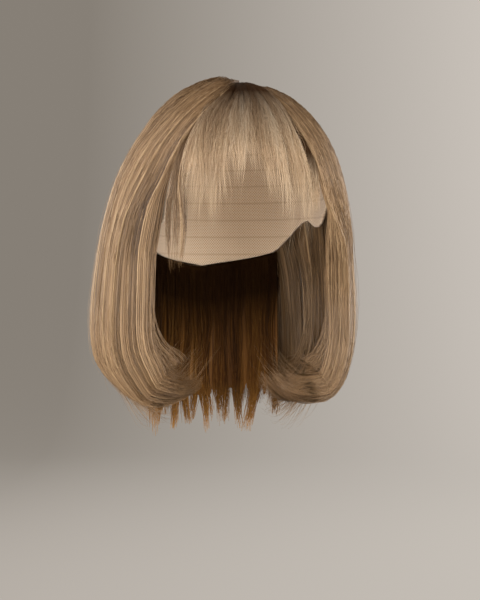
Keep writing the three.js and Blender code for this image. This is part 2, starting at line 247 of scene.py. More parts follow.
@dataclass
class MeshDraft:
    """The points, faces, marks and tones of one mesh, gathered part by part."""

    points: list[Array] = field(default_factory=list)
    marks: list[Array] = field(default_factory=list)
    tones: list[Array] = field(default_factory=list)
    quads: list[Array] = field(default_factory=list)
    triangles: list[Array] = field(default_factory=list)
    count: int = 0

    def add(self, points: Array, marks: Array, tones: Array, quads: Array, triangles: Array) -> None:
        """Adds a closed part.

        Args:
            points: its points, one in each row.
            marks: two numbers for each point, which the finish reads.
            tones: one number for each point, from dark (0) to pale (1).
            quads: its four-sided faces, as rows of point numbers.
            triangles: its three-sided faces, the same way.
        """
        self.points.append(points.reshape(-1, 3))
        self.marks.append(marks.reshape(-1, 2))
        self.tones.append(tones.ravel())
        self.quads.append(quads.reshape(-1, 4) + self.count)
        self.triangles.append(triangles.reshape(-1, 3) + self.count)
        self.count += self.points[-1].shape[0]

    def add_tubes(self, path: Array, outward: Array, radius: Array, marks: Array, tones: Array) -> None:
        """Adds a thin closed tube along each path.

        At each point of a path the tangent is the difference of its neighbours, the first side is the
        outward way made square to it, and the corners of the ring stand round it at equal angles. Both ends
        are closed by one face.

        Args:
            path: strand, point and place.
            outward: strand, point and a way that isn't along the path.
            radius: strand and point.
            marks: strand, point and the two marks.
            tones: strand and point.
        """
        strands, steps = radius.shape
        tangent = np.gradient(path, axis=1)
        tangent /= np.linalg.norm(tangent, axis=-1, keepdims=True) + TINY
        first = outward - tangent * np.sum(outward * tangent, axis=-1, keepdims=True)
        first /= np.linalg.norm(first, axis=-1, keepdims=True) + TINY
        second = np.cross(tangent, first)
        angle = np.arange(RING_SIDES) * FULL_TURN / RING_SIDES
        ring = (first[:, :, None] * np.cos(angle)[:, None] + second[:, :, None] * np.sin(angle)[:, None])
        points = path[:, :, None] + ring * radius[:, :, None, None]
        number = np.arange(strands * steps * RING_SIDES).reshape(strands, steps, RING_SIDES)
        beside = np.roll(number, -1, axis=2)
        quads = np.stack([number[:, :-1], beside[:, :-1], beside[:, 1:], number[:, 1:]], axis=-1)
        ends = np.concatenate([number[:, 0, ::-1], number[:, -1]])
        self.add(points, np.repeat(marks[:, :, None], RING_SIDES, axis=2),
                 np.repeat(tones[:, :, None], RING_SIDES, axis=2), quads, ends)

    def add_wall(self, outer: Array, inner: Array, outer_marks: Array, inner_marks: Array,
                 tones: Array, turned: bool) -> None:
        """Adds a closed wall between an outer and an inner sheet, each a grid of rows and columns.

        Args:
            outer: the outer sheet, row by row from the top.
            inner: the inner sheet, in the same order.
            outer_marks: the two marks of each outer point.
            inner_marks: the same for the inner points.
            tones: the tone of each outer point, which the inner point behind it shares.
            turned: whether the columns run the other way round, from right to left seen from outside.
        """
        rows, columns = outer.shape[:2]
        out = np.arange(rows * columns).reshape(rows, columns)
        into = out + rows * columns

        def strip(a: Array, b: Array, c: Array, d: Array) -> Array:
            """Joins four sets of corners to faces that point outwards."""
            quad = np.stack([a, b, c, d], axis=-1).reshape(-1, 4)
            return quad[:, ::-1] if turned else quad

        quads = [
            strip(out[:-1, :-1], out[1:, :-1], out[1:, 1:], out[:-1, 1:]),
            strip(into[:-1, :-1], into[:-1, 1:], into[1:, 1:], into[1:, :-1]),
            strip(out[-1, :-1], into[-1, :-1], into[-1, 1:], out[-1, 1:]),
            strip(out[0, :-1], out[0, 1:], into[0, 1:], into[0, :-1]),
            strip(out[:-1, 0], into[:-1, 0], into[1:, 0], out[1:, 0]),
            strip(out[:-1, -1], out[1:, -1], into[1:, -1], into[:-1, -1]),
        ]
        self.add(np.concatenate([outer.reshape(-1, 3), inner.reshape(-1, 3)]),
                 np.concatenate([outer_marks.reshape(-1, 2), inner_marks.reshape(-1, 2)]),
                 np.tile(tones.ravel(), 2), np.concatenate(quads), np.empty((0, 3), int))

    def build(self, name: str, material: bpy.types.Material, girth: float = 0.0) -> bpy.types.Object:
        """Makes the mesh and its object.

        Args:
            name: the object's name.
            material: its only material.
            girth: how far round the first mark goes before it starts again, or 0 where it doesn't.

        Returns:
            The object, linked to the scene, with its place in its mesh.
        """
        points, marks = np.concatenate(self.points), np.concatenate(self.marks)
        quads, triangles = np.concatenate(self.quads), np.concatenate(self.triangles)
        corners = np.concatenate([quads.ravel(), triangles.ravel()])
        starts = np.concatenate([np.arange(len(quads)) * 4, len(quads) * 4 + np.arange(len(triangles)) * 3])
        marked = marks[corners]
        if girth:
            across = marked[:len(quads) * 4, 0].reshape(-1, 4)
            torn = np.ptp(across, axis=1, keepdims=True) > girth / 2
            across += girth * (torn & (across < 0))
        mesh = bpy.data.meshes.new(name)
        mesh.vertices.add(len(points))
        mesh.vertices.foreach_set("co", points.astype(np.float32).ravel())
        mesh.loops.add(len(corners))
        mesh.loops.foreach_set("vertex_index", corners.astype(np.int32))
        mesh.polygons.add(len(starts))
        mesh.polygons.foreach_set("loop_start", starts.astype(np.int32))
        mesh.polygons.foreach_set("use_smooth", np.ones(len(starts), bool))
        layer = mesh.uv_layers.new(name=MARKS)
        layer.uv.foreach_set("vector", marked.astype(np.float32).ravel())
        tones = mesh.attributes.new(TONE, "FLOAT", "POINT")
        tones.data.foreach_set("value", np.concatenate(self.tones).astype(np.float32))
        mesh.update(calc_edges=True)
        mesh.materials.append(material)
        made = bpy.data.objects.new(name, mesh)
        bpy.context.scene.collection.objects.link(made)
        LOG.info("%s: %d triangles", name, 2 * len(quads) + len(triangles))
        return made


def add_node(tree: bpy.types.NodeTree, kind: str, inputs: dict | None = None,
             **settings: object) -> bpy.types.Node:
    """Adds a node to a material.

    Args:
        tree: the material's node tree.
        kind: the node's type.
        inputs: for each socket, by name or number, a value or the output that feeds it.
        settings: the node's own settings.

    Returns:
        The node.
    """
    node = tree.nodes.new(kind)
    for name, value in settings.items():
        setattr(node, name, value)
    for name, value in (inputs or {}).items():
        if isinstance(value, Socket):
            tree.links.new(value, node.inputs[name])
        else:
            node.inputs[name].default_value = value
    return node


def worked_out(tree: bpy.types.NodeTree, operation: str, *values: Socket | float) -> Socket:
    """Works out a number from one or two others, each a value or the output that carries it."""
    return add_node(tree, "ShaderNodeMath", dict(enumerate(values)), operation=operation).outputs[0]


def ranged(tree: bpy.types.NodeTree, value: Socket, source: Pair = (0.0, 1.0), target: Pair = (0.0, 1.0),
           **settings: str) -> Socket:
    """Carries a value from the source range to the target range, and holds it within that."""
    return add_node(tree, "ShaderNodeMapRange", {
        "Value": value, "From Min": source[0], "From Max": source[1], "To Min": target[0],
        "To Max": target[1],
    }, **settings).outputs[0]


def mixed(tree: bpy.types.NodeTree, share: Socket, first: Socket | str, second: Socket | str) -> Socket:
    """Mixes two colours by a share, each a hex colour or the output that carries it."""
    ends = [linear_colour(end) if isinstance(end, str) else end for end in (first, second)]
    return add_node(tree, "ShaderNodeMix", {MIX_FACTOR: share, MIX_A: ends[0], MIX_B: ends[1]},
                    data_type="RGBA").outputs[MIX_RESULT]


def raised(tree: bpy.types.NodeTree, height: Socket, strength: float, relief: float) -> Socket:
    """Gives the normal of a surface that a height from 0 to 1 raises by the relief, in metres."""
    return add_node(tree, "ShaderNodeBump", {
        "Height": height, "Strength": strength, "Distance": relief,
    }).outputs[0]


def end_material(tree: bpy.types.NodeTree, inputs: dict) -> None:
    """Ends a material in one principled surface with these inputs."""
    surface = add_node(tree, "ShaderNodeBsdfPrincipled", inputs).outputs[0]
    add_node(tree, "ShaderNodeOutputMaterial", {"Surface": surface})


def new_material(name: str) -> tuple[bpy.types.Material, bpy.types.NodeTree]:
    """Makes an empty node material and gives it with its tree."""
    material = bpy.data.materials.new(name)
    material.use_nodes = True
    material.node_tree.nodes.clear()
    return material, material.node_tree


def fill_ramp(node: bpy.types.Node, stops: tuple[tuple[float, str], ...]) -> None:
    """Sets a colour ramp's stops, each a place and a hex colour."""
    ramp = node.color_ramp
    while len(ramp.elements) < len(stops):
        ramp.elements.new(1.0)
    for element, (place, colour) in zip(ramp.elements, stops):
        element.position = place
        element.color = linear_colour(colour)


@dataclass(frozen=True)
class HairFinish:
    """Human hair, bleached fair: keratin fibres with a clear scaly skin.

    The skin gives a narrow gloss across the strands, less at the dull dark roots, and the pigment varies
    from strand to strand. A mesh's tone, which carries painted shade, picks the colour, its first mark runs
    round the cap in metres, so that fine streaks lie beside each other, and its second mark runs from the
    root (0) to the tip (1). The root colour is partly the hair's darker roots and partly painted shade.
    """

    name: str
    tones: tuple[tuple[float, str], ...]
    root: str
    root_reach: Pair
    tip: str
    tip_reach: Pair = (0.8, 1.0)
    tip_share: float = 0.6
    root_share: float = 0.96
    root_fade: float = 1.7
    streak_spacing: float = 1.6 * MILLIMETRE
    streaks_along: float = 2.0
    streak_strength: float = 0.36
    streak_detail: float = 3.0
    streak_roughness: float = 0.65
    relief: float = 0.3 * MILLIMETRE
    relief_strength: float = 0.4
    roughness: Pair = (0.36, 0.5)
    gloss: float = 0.5
    keratin_ior: float = 1.55

    def material(self) -> bpy.types.Material:
        """Builds the hair: the mesh's tone and a streaky noise, darker at the root by dark roots and
        painted shade, golden at the tip.
        """
        material, tree = new_material(self.name)
        marks = add_node(tree, "ShaderNodeUVMap", uv_map=MARKS).outputs["UV"]
        level = add_node(tree, "ShaderNodeSeparateXYZ", {"Vector": marks}).outputs["Y"]
        drawn_out = add_node(tree, "ShaderNodeVectorMath", {
            0: marks, 1: (1 / self.streak_spacing, self.streaks_along, 0.0),
        }, operation="MULTIPLY").outputs[0]
        streak = add_node(tree, "ShaderNodeTexNoise", {
            "Vector": drawn_out, "Scale": 1.0, "Detail": self.streak_detail,
            "Roughness": self.streak_roughness,
        }, noise_dimensions="2D").outputs["Fac"]
        change = ranged(tree, streak, target=(-self.streak_strength, self.streak_strength))
        tone = add_node(tree, "ShaderNodeAttribute", attribute_name=TONE).outputs["Fac"]
        ramp = add_node(tree, "ShaderNodeValToRGB", {"Fac": worked_out(tree, "ADD", tone, change)})
        fill_ramp(ramp, self.tones)
        at_tip = ranged(tree, level, self.tip_reach, (0.0, self.tip_share))
        tipped = mixed(tree, at_tip, ramp.outputs["Color"], self.tip)
        # Painted shade: the darkening towards the root is partly the hair's darker roots and partly shade
        # near the crown.
        near_root_and_shade = ranged(tree, level, self.root_reach, (self.root_share, 0.0))
        root_and_shade = worked_out(tree, "POWER", near_root_and_shade, self.root_fade)
        end_material(tree, {
            "Base Color": mixed(tree, root_and_shade, tipped, self.root), "IOR": self.keratin_ior,
            "Roughness": ranged(tree, streak, target=self.roughness),
            "Specular IOR Level": ranged(tree, root_and_shade, target=(self.gloss, 0.0)),
            "Normal": raised(tree, streak, self.relief_strength, self.relief),
        })
        return material


@dataclass(frozen=True)
class NetFinish:
    """Knitted polyamide net, dyed beige: a matt, slightly fuzzy cloth of fine diagonal threads.

    The real mesh is about 1 mm and too fine to show, so it is drawn at 2.6 mm. The first mark of the mesh
    runs round the cap and the second down it, both in metres. The sewn rows lie two half rows apart.
    """

    name: str = "polyamide_net"
    thread: str = "#dcc7ae"
    gap: str = "#ab9074"
    sewing: str = "#a88b6e"
    mesh: float = 2.6 * MILLIMETRE
    thread_edges: Pair = (-0.2, 0.9)
    half_row: float = 8.0 * MILLIMETRE
    row_edges: Pair = (0.4 * MILLIMETRE, 1.2 * MILLIMETRE)
    row_share: float = 0.45
    relief: float = 0.4 * MILLIMETRE
    relief_strength: float = 0.5
    roughness: float = 0.85
    fuzz: float = 0.25
    fuzz_roughness: float = 0.6

    def material(self) -> bpy.types.Material:
        """Builds the net: two crossed sets of threads, and the sewn rows that carry the hair."""
        material, tree = new_material(self.name)
        marks = add_node(tree, "ShaderNodeUVMap", uv_map=MARKS).outputs["UV"]
        split = add_node(tree, "ShaderNodeSeparateXYZ", {"Vector": marks}).outputs
        threads = []
        for operation in ("ADD", "SUBTRACT"):
            way = worked_out(tree, operation, split["X"], split["Y"])
            turn = worked_out(tree, "MULTIPLY", way, FULL_TURN / self.mesh)
            threads.append(worked_out(tree, "COSINE", turn))
        net = ranged(tree, worked_out(tree, "MAXIMUM", *threads), self.thread_edges)
        row = worked_out(tree, "PINGPONG", split["Y"], self.half_row)
        sewn = ranged(tree, row, self.row_edges, (self.row_share, 0.0))
        cloth = mixed(tree, net, self.gap, self.thread)
        end_material(tree, {
            "Base Color": mixed(tree, sewn, cloth, self.sewing), "Roughness": self.roughness,
            "Sheen Weight": self.fuzz, "Sheen Roughness": self.fuzz_roughness,
            "Normal": raised(tree, net, self.relief_strength, self.relief),
        })
        return material


# The darker root colours of the blond and pale hair are partly real darker roots and partly painted shade
# near the crown.
BLOND = HairFinish(
    "bleached_hair", ((0.1, "#4c3723"), (0.36, "#745b3f"), (0.56, "#957858"), (0.9, "#c8aa83")),
    root="#432a12", root_reach=(0.0, 0.5), root_fade=2.2,
    tip="#7e5c34", tip_reach=(0.76, 0.95), tip_share=0.55,
)
PALE = HairFinish(
    "pale_fringe_hair", ((0.1, "#886c4d"), (0.36, "#b29676"), (0.56, "#d1b797"), (0.9, "#eddbc0")),
    root="#361e0b", root_reach=(0.28, 0.75), root_fade=1.0, tip="#d8c2a3",
)
# Painted shade: the under hair's near-black root colour, reaching almost to its tips, stands for the shade
# inside the wig.
WARM = HairFinish(
    "warm_under_hair", ((0.1, "#4b2d0e"), (0.36, "#794c1d"), (0.56, "#a36d2c"), (0.9, "#cf994c")),
    root="#1a0f07", root_reach=(0.2, 0.97), root_fade=0.6, tip="#cb974c", tip_reach=(0.7, 1.0),
    roughness=(0.5, 0.66), gloss=0.25,
)


@dataclass(frozen=True)
class Layer:
    """One layer of a piece's strands.

    Depths are shares of the wall, from its outside (0) to its inside (1), and roots and tips are shares of
    the piece's length. The spread is the part across the piece that the layer takes up, and a crowd above
    1 gathers it at the front edge. The bulge is how far the strands leave the wall inwards on their way
    into the curl, and the hang how far their tips fall straight down, both in metres.
    """

    count: int
    depth: Pair
    radius: float
    stray: float
    roots: Pair = (0.0, 0.4)
    tips: Pair = (0.96, 1.02)
    spread: Pair = (0.0, 1.0)
    crowd: float = 1.0
    bulge: float = 0.0
    hang: float = 0.0
    tone: float = 0.0


@dataclass(frozen=True)
class Combing:
    """How the strands of every layer are combed.

    Stretches run along the piece, from its root (0) to its tip (1), and those of the hang and the girth
    along the strand. A strand is pulled to the middle of its lock over an early and a late stretch, of
    which the early one does its share. Its root lies at the root depth or further in. It wanders by sines
    of a drawn pace, two of which lift it and two push it aside, and it crosses its neighbours about one
    place. The paces, the reaches and the girth say the least and the most that a strand draws.
    """

    early_pull: Pair = (0.1, 0.6)
    late_pull: Pair = (0.55, 1.0)
    early_share: float = 0.35
    root_depth: float = 0.9
    stirred: Pair = (0.78, 1.0)
    lifted: Pair = (0.1, 1.0)
    wander_pace: Pair = (0.8, 2.6)
    wandering: Pair = (0.0, 0.6)
    lifting_waves: Pair = (0.4, 0.2)
    swaying_waves: Pair = (0.6, 0.4)
    wisp_swing: float = 0.5
    bulge_reach: Pair = (0.1, 1.0)
    bulging: Pair = (0.56, 0.86)
    crossing_place: float = 0.4
    crossed: Pair = (0.0, 0.3)
    splayed: Pair = (0.55, 1.1)
    hang_reach: Pair = (0.4, 1.0)
    hanging: Pair = (0.72, 1.0)
    hang_power: float = 1.5
    girth: Pair = (0.7, 1.25)
    root_girth: float = 0.35
    thickening: Pair = (0.0, 0.06)
    thinning: Pair = (0.7, 1.0)


@dataclass(frozen=True)
class LockPlan:
    """The locks of a piece: where each lies, and how it differs from the others."""

    JITTER: ClassVar[float] = 0.45
    PACE: ClassVar[Pair] = (0.6, 1.5)
    SWINGING: ClassVar[Pair] = (0.05, 0.5)

    centre: Array
    tone: Array
    sway: Array
    phase: Array
    pace: Array
    length: Array
    lift: Array

    @classmethod
    def drawn(cls, rng: np.random.Generator, count: int, sway: float, ragged: float,
              lift: float) -> "LockPlan":
        """Draws the locks.

        Args:
            rng: the piece's own random numbers.
            count: how many locks there are.
            sway: how far a lock swings to the side, in metres.
            ragged: how much shorter than the piece a lock may be, as a share.
            lift: how far a lock may stand out or lie in, in metres.

        Returns:
            The plan, with its locks in order across the piece.
        """
        centre = np.sort((np.arange(count) + 0.5 + rng.uniform(-cls.JITTER, cls.JITTER, count)) / count)
        return cls(centre, rng.normal(0, 1, count), rng.normal(0, sway, count), rng.random(count),
                   rng.uniform(*cls.PACE, count), 1 - ragged * rng.random(count) ** 2,
                   rng.uniform(-lift, lift, count))

    def nearest(self, across: Array) -> Array:
        """Gives the number of the lock that each place across belongs to."""
        return np.searchsorted((self.centre[1:] + self.centre[:-1]) / 2, across)

    def reach(self, across: Array) -> Array:
        """Gives how far each place is from the middle of its lock (0) to its border (1)."""
        apart = np.abs(across - self.centre[self.nearest(across)])
        return np.clip(apart * 2 * len(self.centre), 0.0, 1.0)

    def swing(self, lock: Array, along: Array) -> Array:
        """Gives the sideways swing of each strand's lock: a sine of the length that starts from nothing."""
        wave = np.sin(FULL_TURN * (self.pace[lock][:, None] * along + self.phase[lock][:, None]))
        return self.sway[lock][:, None] * wave * smooth(along, *self.SWINGING)


@dataclass(kw_only=True)
class HairPiece:
    """A mass of hair: a core of close hair and layers of strands that follow its locks.

    A subclass says where a place of the piece lies. The gather is how far the strands are drawn to the
    middle of their lock and of their wisp, the crest is how round a lock's outside is, and the rise is the
    way over which a strand leaves the cap. A point shift gathers its points towards the tip, where the
    splay spreads the locks sideways, and the stir makes them stand out more. The squeeze, the overlap and
    the fan length are those of the streams.

    The core is a wall between two depths that opens at the root, and whose end thins out and is as jagged
    as the wisps. Its edges say how far it has thinned out at places across, from not at all (0) to wholly
    (1), and the meeting how nearly its sheets come together there. The least tooth is how deep the
    shallowest tooth of its jagged end is, as a share of the deepest, and the inset is how far aside the
    marks of its inner sheet lie, as a share of the width. The core shade darkens the core as painted shade
    for lying under the strands, and the depth shade darkens each strand as painted shade by how deep in the
    wall it lies. The shadow is a painted shadow near the front edge, where the swept edge shades the hair
    under it: where along the piece it starts and ends, how many fades it is long, and how far across it
    reaches.
    """

    name: str
    slot: str
    finish: HairFinish
    cap: CapShape
    seed: int
    locks: int
    width: float
    layers: tuple[Layer, ...]
    combing: Combing = Combing()
    side: Side = Side.LEFT
    steps: int = 20
    wisps_per_lock: int = 5
    sway: float = 2.0 * MILLIMETRE
    ragged: float = 0.03
    lock_lift: float = 0.5 * MILLIMETRE
    wisp_lift: float = 0.4 * MILLIMETRE
    crest: float = 0.3 * MILLIMETRE
    gather: Pair = (0.12, 0.25)
    crossing: float = 1.5 * MILLIMETRE
    splay: float = 0.0
    rise: float = 0.05
    core: Pair = (0.12, 0.8)
    core_sink: float = 0.0
    core_start: float = 0.0
    core_end: float = 0.84
    core_opening: float = 0.08
    core_taper: float = 0.7
    core_teeth: float = 0.08
    core_least_tooth: float = 0.4
    core_meeting: float = 0.9
    core_inset: float = 0.1
    core_edges: tuple[Pair, ...] = ((0.0, 1.0), (0.07, 0.0), (1.0, 0.0))
    # Painted shade: the core is darker than the strands that lie over it.
    core_shade: float = -0.056
    core_grid: tuple[int, int] = (84, 36)
    core_span: Pair = (0.004, 0.996)
    point_shift: float = 0.0
    squeeze: float = 0.0
    overlap: float = 0.0
    fan_length: float = 0.34
    tip_stir: float = 0.0
    tip_radius: float = 0.16
    lock_tone: float = 0.07
    wisp_tone: float = 0.06
    strand_tone: float = 0.08
    depth_shade: float = 0.14
    shadow: float = 0.0
    shadow_along: Pair = (0.26, 0.52)
    shadow_fades: int = 3
    shadow_across: Pair = (0.12, 0.3)

    def stream(self, spread: Array, along: Array) -> Array:
        """Gives where a stream of hair lies across the piece.

        All the hair is combed one way. At the root the streams are squeezed towards the front edge, and the
        first of them start beyond it: the place is the spread times 1 - squeeze + squeeze times the spread,
        less the overlap times the square of what is left of the spread. Both fade over the fan's length.

        Args:
            spread: which stream, from the first at the front (0) to the last (1).
            along: how far along the piece.

        Returns:
            The place across.
        """
        fade = 1 - smooth(along, 0.0, self.fan_length)
        squeezed = self.squeeze * fade
        return spread * (1 - squeezed + squeezed * spread) - self.overlap * fade * (1 - spread) ** 2

    def lay(self, across: Array, along: Array, depth: Array, lift: Array) -> tuple[Array, Array, Array]:
        """Finds places of the piece.

        Args:
            across: strand and point, from the front edge (0) to the back (1).
            along: the same, from the root (0) to the tip (1).
            depth: the same, from the outside of the wall (0) to its inside (1).
            lift: how far each stands further out, in metres.

        Returns:
            The places, the outward ways and the sideways ways.
        """
        raise NotImplementedError

    def last_core(self, across: Array) -> Array:
        """Gives how far along the piece the core ends at each place across."""
        return self.core_end + 0 * across

    def level(self, across: Array, along: Array) -> Array:
        """Gives how far from its root the finish takes each place to be."""
        return along + 0 * across

    def marks(self, spread: Array, across: Array, along: Array) -> Array:
        """Gives the two marks of each place: how far round the cap its stream lies, and its level."""
        return np.stack([(spread * self.width)[:, None] + 0 * along, self.level(across, along)], axis=-1)

    def painted_shadow(self, across: Array, along: Array) -> Array:
        """Gives the painted shadow: how much darker a place is, fading at both ends and away from the edge.
        """
        start, end = self.shadow_along
        fade = (end - start) / self.shadow_fades
        inside = smooth(along, start, start + fade) * (1 - smooth(along, end - fade, end))
        return self.shadow * inside * (1 - smooth(across, *self.shadow_across))

    def girths(self, layer: Layer, share: Array, rng: np.random.Generator) -> Array:
        """Gives the radius of a layer's strands: each its own, and thinner towards the root and the tip."""
        radius = layer.radius * rng.uniform(*self.combing.girth, (layer.count, 1))
        radius = radius * blend(self.combing.root_girth, 1.0, smooth(share, *self.combing.thickening))
        return radius * blend(1.0, self.tip_radius, smooth(share, *self.combing.thinning))

    def comb(self, draft: MeshDraft, layer: Layer, locks: LockPlan, wisps: LockPlan,
             rng: np.random.Generator) -> None:
        """Adds a layer of strands.

        Each strand runs from its root to its tip at its own place across, drawn towards the middle of its
        lock and of its wisp as it falls. It rises from the cap over a short way, swings with its lock,
        crosses its neighbours at a small angle and wanders by two sines each way.

        Args:
            draft: the mesh that it goes into.
            layer: the layer.
            locks: the piece's locks.
            wisps: the finer locks within them.
            rng: the piece's own random numbers.
        """
        count, combing = layer.count, self.combing
        spread = blend(*layer.spread, rng.random(count) ** layer.crowd)
        lock, wisp = locks.nearest(spread), wisps.nearest(spread)
        start = rng.uniform(*layer.roots, count)
        end = rng.uniform(*layer.tips, count) * locks.length[lock] * wisps.length[wisp]
        share = np.linspace(0, 1, self.steps)
        share = share + self.point_shift * np.sin(math.pi * share)
        along = blend(start[:, None], end[:, None], share)
        pull = (combing.early_share * smooth(along, *combing.early_pull)
                + (1 - combing.early_share) * smooth(along, *combing.late_pull))
        to_lock, to_wisp = locks.centre[lock] - spread, wisps.centre[wisp] - spread
        drawn = (self.gather[0] * to_lock + self.gather[1] * to_wisp)[:, None] * pull
        across = self.stream(spread[:, None] + drawn, along)
        inside = rng.uniform(*layer.depth, count)[:, None]
        risen = smooth(along - start[:, None], 0.0, self.rise)
        depth = blend(np.maximum(inside, combing.root_depth), inside, risen)
        stir = 1 + self.tip_stir * smooth(along, *combing.stirred)
        proud = locks.lift[lock] + wisps.lift[wisp] - self.crest * locks.reach(spread) ** 2
        shape = (len(combing.lifting_waves) + len(combing.swaying_waves), count, 1)
        phase = rng.random(shape)
        pace = rng.uniform(*combing.wander_pace, shape)
        waves = np.sin(FULL_TURN * (pace * along + phase)) * layer.stray * smooth(along, *combing.wandering)
        first, second = combing.lifting_waves
        lift = proud[:, None] * smooth(along, *combing.lifted) * stir
        lift = lift + (first * waves[0] + second * waves[1]) * rng.random((count, 1))
        bulge = layer.bulge * rng.uniform(*combing.bulge_reach, (count, 1))
        lift = lift - bulge * smooth(along, *combing.bulging)
        points, outward, sideways = self.lay(across, along, depth, lift)
        first, second = combing.swaying_waves
        aside = locks.swing(lock, along) + combing.wisp_swing * wisps.swing(wisp, along)
        aside = aside + first * waves[2] + second * waves[3]
        aside = aside + (self.crossing * rng.normal(0, 1, (count, 1)) * (along - combing.crossing_place)
                         * smooth(along, *combing.crossed))
        aside = aside + self.splay * locks.tone[lock][:, None] * smooth(along, *combing.splayed) ** 2
        points = points + sideways * aside[..., None]
        hang = layer.hang * rng.uniform(*combing.hang_reach, (count, 1))
        points[..., 2] -= hang * smooth(share, *combing.hanging) ** combing.hang_power
        radius = self.girths(layer, share, rng)
        own = (self.lock_tone * locks.tone[lock] + self.wisp_tone * wisps.tone[wisp]
               + self.strand_tone * rng.normal(0, 1, count) + layer.tone + MIDDLE_TONE)
        # Painted shade: strands deeper in the wall are darker, and the front edge takes its painted shadow.
        tones = own[:, None] - self.depth_shade * np.clip(inside, 0, 1) - self.painted_shadow(across, along)
        draft.add_tubes(points, outward, radius, self.marks(spread, across, along), tones)

    def fill(self, draft: MeshDraft, locks: LockPlan, wisps: LockPlan) -> None:
        """Adds the core: a wall inside the strands whose two sheets meet towards its jagged end.

        Args:
            draft: the mesh that it goes into.
            locks: the piece's locks.
            wisps: the finer locks within them.
        """
        columns, rows = self.core_grid
        across = np.linspace(*self.core_span, columns)
        tooth = blend(self.core_least_tooth, 1.0, wisps.phase[wisps.nearest(across)]) * wisps.reach(across)
        end = self.last_core(across) * (1 - self.core_teeth * tooth)
        share = np.linspace(0, 1, rows)
        along = blend(self.core_start, end[:, None], share)
        place = self.stream(across[:, None], along)
        proud = np.interp(across, locks.centre, locks.lift) - self.crest * locks.reach(across) ** 2
        proud = proud - self.core_sink
        lift = proud[:, None] * smooth(along, *self.combing.lifted)
        thinned = np.interp(across, *zip(*self.core_edges))[:, None]
        opened = smooth(share, 0.0, self.core_opening)
        closing = np.maximum(np.maximum(smooth(share, self.core_taper, 1.0), 1 - opened), thinned)
        middle = (self.core[0] + self.core[1]) / 2
        outer, inner = (self.lay(place, along, blend(depth, middle, closing * self.core_meeting), lift)[0]
                        for depth in self.core)
        tone = (self.lock_tone * np.interp(across, locks.centre, locks.tone)
                + self.wisp_tone * np.interp(across, wisps.centre, wisps.tone) + MIDDLE_TONE)
        # Painted shade: the core under the strands is darker, and the front edge takes its painted shadow.
        tones = tone[:, None] + self.core_shade - self.painted_shadow(place, along)
        marks = self.marks(across, place, along)
        inner_marks = marks + np.array([self.width * self.core_inset, 0.0])
        grids = [grid.swapaxes(0, 1) for grid in (outer, inner, marks, inner_marks, tones)]
        draft.add_wall(*grids, turned=self.side is Side.RIGHT)

    def build(self) -> bpy.types.Object:
        """Builds, dresses and places the piece, which stands for the node of its own name."""
        rng = np.random.default_rng(self.seed)
        locks = LockPlan.drawn(rng, self.locks, self.sway, self.ragged, self.lock_lift)
        wisp_count = self.locks * self.wisps_per_lock
        wisps = LockPlan.drawn(rng, wisp_count, self.sway, self.ragged, self.wisp_lift)
        draft = MeshDraft()
        self.fill(draft, locks, wisps)
        for layer in self.layers:
            self.comb(draft, layer, locks, wisps, rng)
        piece = draft.build(f"{self.name}_strands", self.finish.material())
        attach(piece, "root")
        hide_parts(self.name)
        return piece


